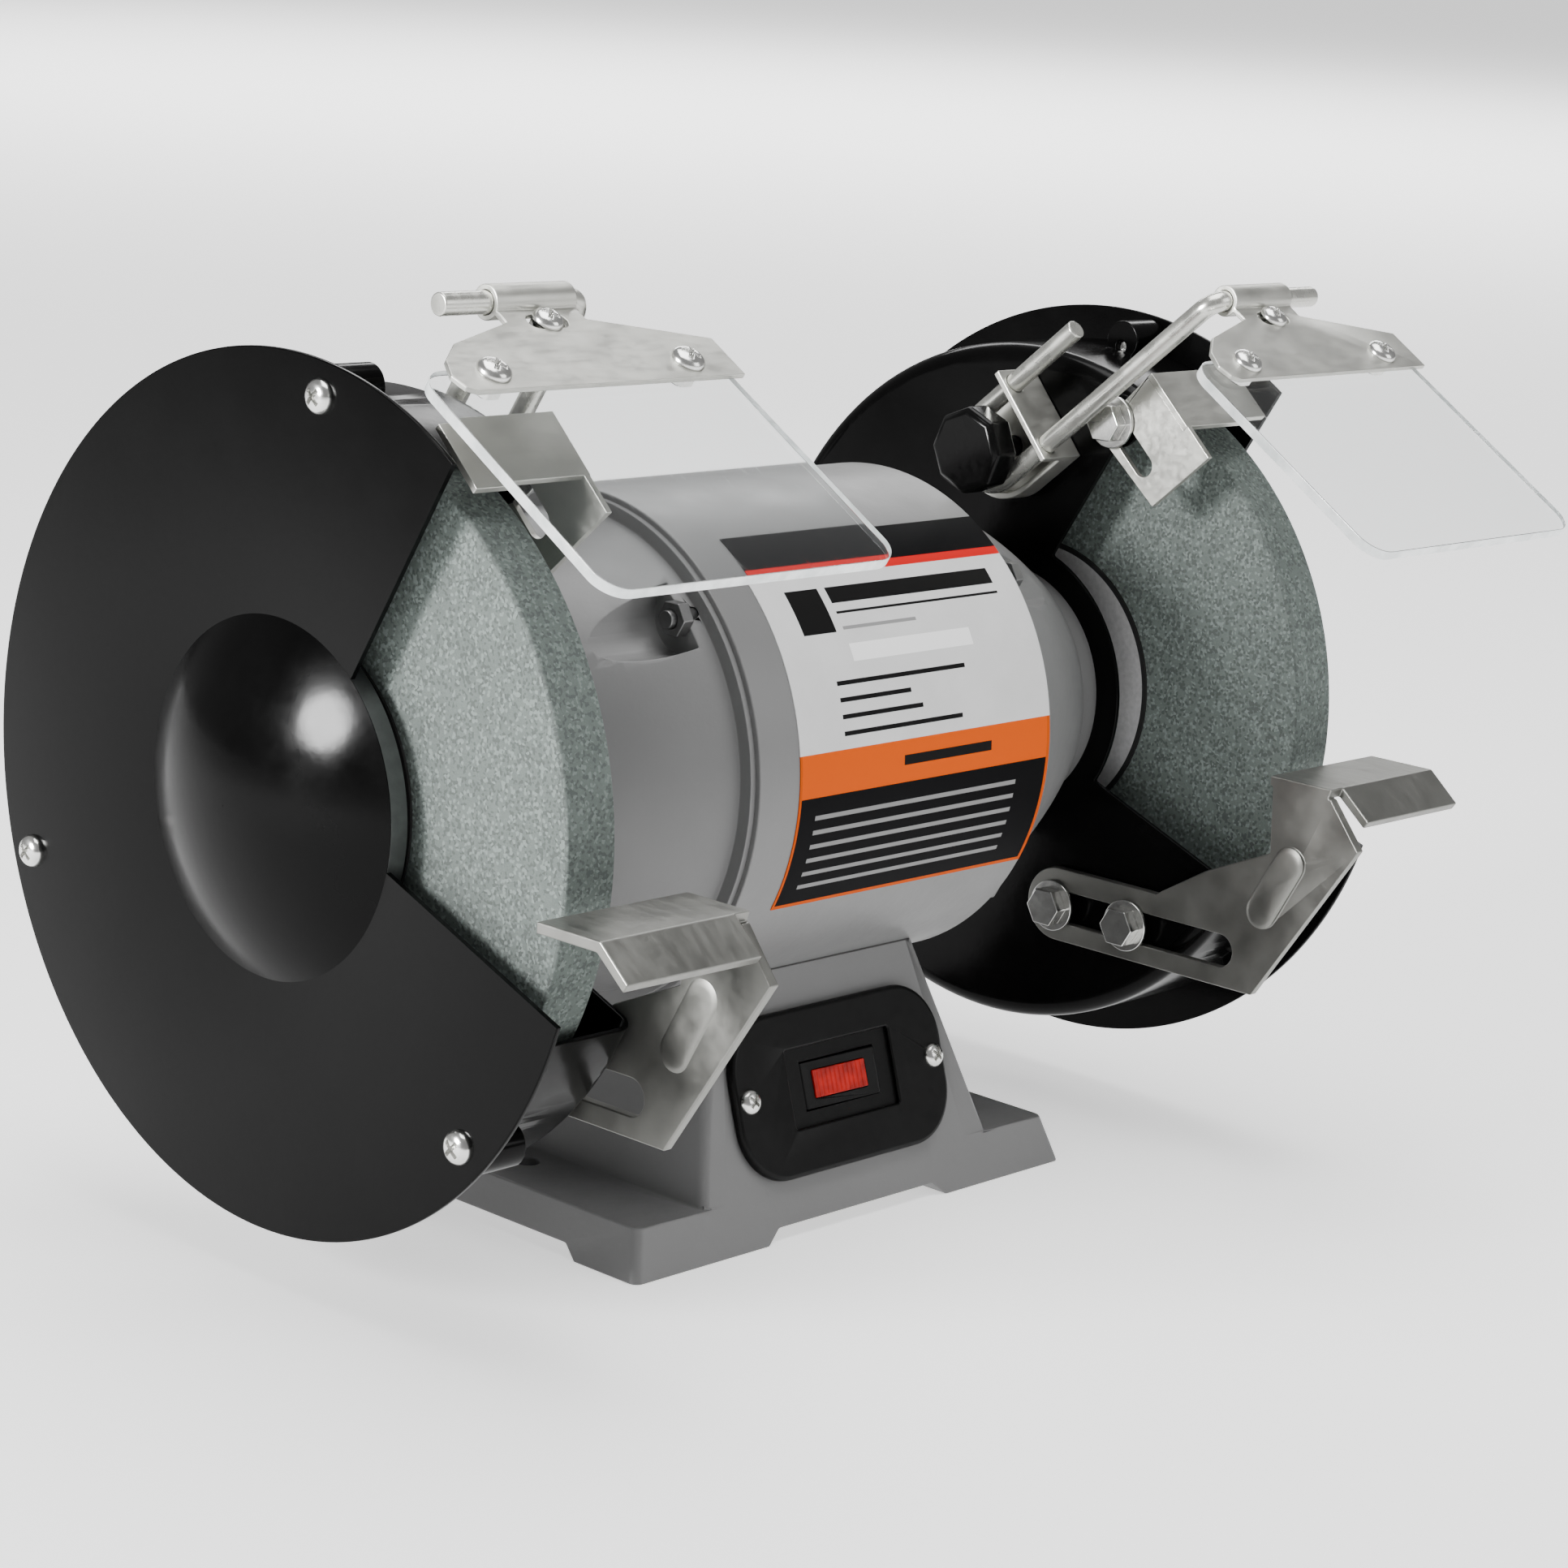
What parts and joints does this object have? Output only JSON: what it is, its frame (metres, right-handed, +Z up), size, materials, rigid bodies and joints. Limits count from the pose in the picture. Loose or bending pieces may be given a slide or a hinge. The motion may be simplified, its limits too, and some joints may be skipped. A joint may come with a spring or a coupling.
{
  "type": "bench grinder",
  "caption": "Bench grinder with an abrasive wheel at each end of a motor, guards, tool rests, spark arrestors and swinging eye shields on a cast base.",
  "frame": {"origin": "on the bench surface, midway between the base's two mounting holes, under the middle of the spindle", "axes": "+X along the spindle to the right, -Y towards the operator, +Z up"},
  "size_m": [0.367, 0.2834, 0.2694],
  "materials": {
    "grey_casting_paint": "satin machine paint over cast iron, lightly orange-peeled",
    "grey_barrel_paint": "satin machine paint on rolled steel",
    "black_guard_paint": "semi-gloss black paint on pressed steel",
    "zinc_sheet": "zinc-plated sheet, faintly mottled",
    "zinc_wire": "zinc-plated round wire",
    "bare_rest_steel": "plated steel sheet, brushed",
    "zinc_fastener": "bright zinc-plated fasteners",
    "machined_steel": "turned steel",
    "bearing_steel": "polished bearing steel",
    "dark_flange": "blackened pressed steel",
    "lamination_steel": "stacked laminations",
    "copper_winding": "varnished copper wire",
    "abrasive_grey": null,
    "blotter_card": "printed card washer, left blank",
    "black_plastic": "moulded black plastic",
    "black_switch_plate": "moulded black plastic",
    "black_knob": "moulded black knob",
    "red_lens": "translucent red lens",
    "printed_label": "banded plastic label without lettering",
    "capacitor_can": "drawn aluminium can",
    "clear_shield": "clear polycarbonate sheet"
  },
  "bodies": {
    "frame": {"base_casting": "grey_casting_paint", "left_end_bell": "grey_casting_paint", "right_end_bell": "grey_casting_paint", "motor_barrel": "grey_barrel_paint", "base_cover_plate": "zinc_sheet", "capacitor_clip": "zinc_sheet", "base_cover_screws": "zinc_fastener", "switch_plate_screws": "zinc_fastener", "through_bolts": "zinc_fastener", "cord_gland": "black_plastic", "switch_body": "black_plastic", "switch_plate": "black_switch_plate", "start_capacitor": "capacitor_can", "rating_label": "printed_label", "stator_core": "lamination_steel", "stator_windings": "copper_winding", "left_bearing": "bearing_steel", "left_cover_screws": "zinc_fastener", "left_guard_mount_screws": "zinc_fastener", "left_rest_bolts": "zinc_fastener", "left_arrestor_bolt": "zinc_fastener", "left_guard_housing": "black_guard_paint", "left_guard_cover": "black_guard_paint", "right_bearing": "bearing_steel", "right_cover_screws": "zinc_fastener", "right_guard_mount_screws": "zinc_fastener", "right_rest_bolts": "zinc_fastener", "right_arrestor_bolt": "zinc_fastener", "right_guard_housing": "black_guard_paint", "right_guard_cover": "black_guard_paint"},
    "spindle": {"spindle": "machined_steel", "rotor_core": "lamination_steel", "left_inner_flange": "dark_flange", "left_blotters": "blotter_card", "left_grinding_wheel": "abrasive_grey", "left_outer_flange": "dark_flange", "left_spindle_nut": "zinc_fastener", "right_inner_flange": "dark_flange", "right_blotters": "blotter_card", "right_grinding_wheel": "abrasive_grey", "right_outer_flange": "dark_flange", "right_spindle_nut": "zinc_fastener"},
    "rocker": {"rocker": "black_plastic", "rocker_lens": "red_lens"},
    "left_rest": {"left_tool_rest": "bare_rest_steel"},
    "left_arrestor": {"left_spark_arrestor": "zinc_sheet"},
    "left_bracket": {"left_arm_bracket": "zinc_sheet"},
    "left_knob": {"left_arm_knob": "black_knob"},
    "left_arm": {"left_shield_arm": "zinc_wire"},
    "left_shield": {"left_shield_bracket": "zinc_sheet", "left_eye_shield": "clear_shield", "left_shield_screws": "zinc_fastener"},
    "right_rest": {"right_tool_rest": "bare_rest_steel"},
    "right_arrestor": {"right_spark_arrestor": "zinc_sheet"},
    "right_bracket": {"right_arm_bracket": "zinc_sheet"},
    "right_knob": {"right_arm_knob": "black_knob"},
    "right_arm": {"right_shield_arm": "zinc_wire"},
    "right_shield": {"right_shield_bracket": "zinc_sheet", "right_eye_shield": "clear_shield", "right_shield_screws": "zinc_fastener"}
  },
  "joints": [
    {"name": "spindle_spin", "type": "hinge", "parent": "frame", "child": "spindle", "pos_m": [0, 0, 0.132], "axis": [1, 0, 0], "continuous": true},
    {"name": "rocker_press", "type": "hinge", "parent": "frame", "child": "rocker", "pos_m": [0, -0.04972, 0.03823], "axis": [0, 0.3134, 0.9496], "range_deg": [0, 14]},
    {"name": "left_rest_slide", "type": "slide", "parent": "frame", "child": "left_rest", "axis": [0, 1, 0], "range_m": [0, 0.004]},
    {"name": "left_arrestor_slide", "type": "slide", "parent": "frame", "child": "left_arrestor", "axis": [0, 0.7254, 0.6884], "range_m": [0, 0.012]},
    {"name": "left_bracket_swing", "type": "hinge", "parent": "frame", "child": "left_bracket", "pos_m": [-0.115, 0, 0.207], "axis": [-1, 0, 0], "range_deg": [-6, 0]},
    {"name": "left_knob_turn", "type": "hinge", "parent": "frame", "child": "left_knob", "pos_m": [-0.115, 0, 0.207], "axis": [1, 0, 0], "range_deg": [-180, 180]},
    {"name": "left_arm_slide", "type": "slide", "parent": "left_bracket", "child": "left_arm", "axis": [0, -0.5299, 0.848], "range_m": [0, 0.02]},
    {"name": "left_shield_tilt", "type": "hinge", "parent": "left_arm", "child": "left_shield", "pos_m": [-0.131, -0.04907, 0.26477], "axis": [-1, 0, 0], "range_deg": [-15, 70]},
    {"name": "right_rest_slide", "type": "slide", "parent": "frame", "child": "right_rest", "axis": [0, 1, 0], "range_m": [0, 0.004]},
    {"name": "right_arrestor_slide", "type": "slide", "parent": "frame", "child": "right_arrestor", "axis": [0, 0.7254, 0.6884], "range_m": [0, 0.012]},
    {"name": "right_bracket_swing", "type": "hinge", "parent": "frame", "child": "right_bracket", "pos_m": [0.115, 0, 0.207], "axis": [-1, 0, 0], "range_deg": [-10, 12]},
    {"name": "right_knob_turn", "type": "hinge", "parent": "frame", "child": "right_knob", "pos_m": [0.115, 0, 0.207], "axis": [1, 0, 0], "range_deg": [-180, 180]},
    {"name": "right_arm_slide", "type": "slide", "parent": "right_bracket", "child": "right_arm", "axis": [0, -0.7593, 0.6508], "range_m": [-0.02, 0]},
    {"name": "right_shield_tilt", "type": "hinge", "parent": "right_arm", "child": "right_shield", "pos_m": [0.131, -0.07929, 0.26047], "axis": [-1, 0, 0], "range_deg": [-15, 70]}
  ]
}
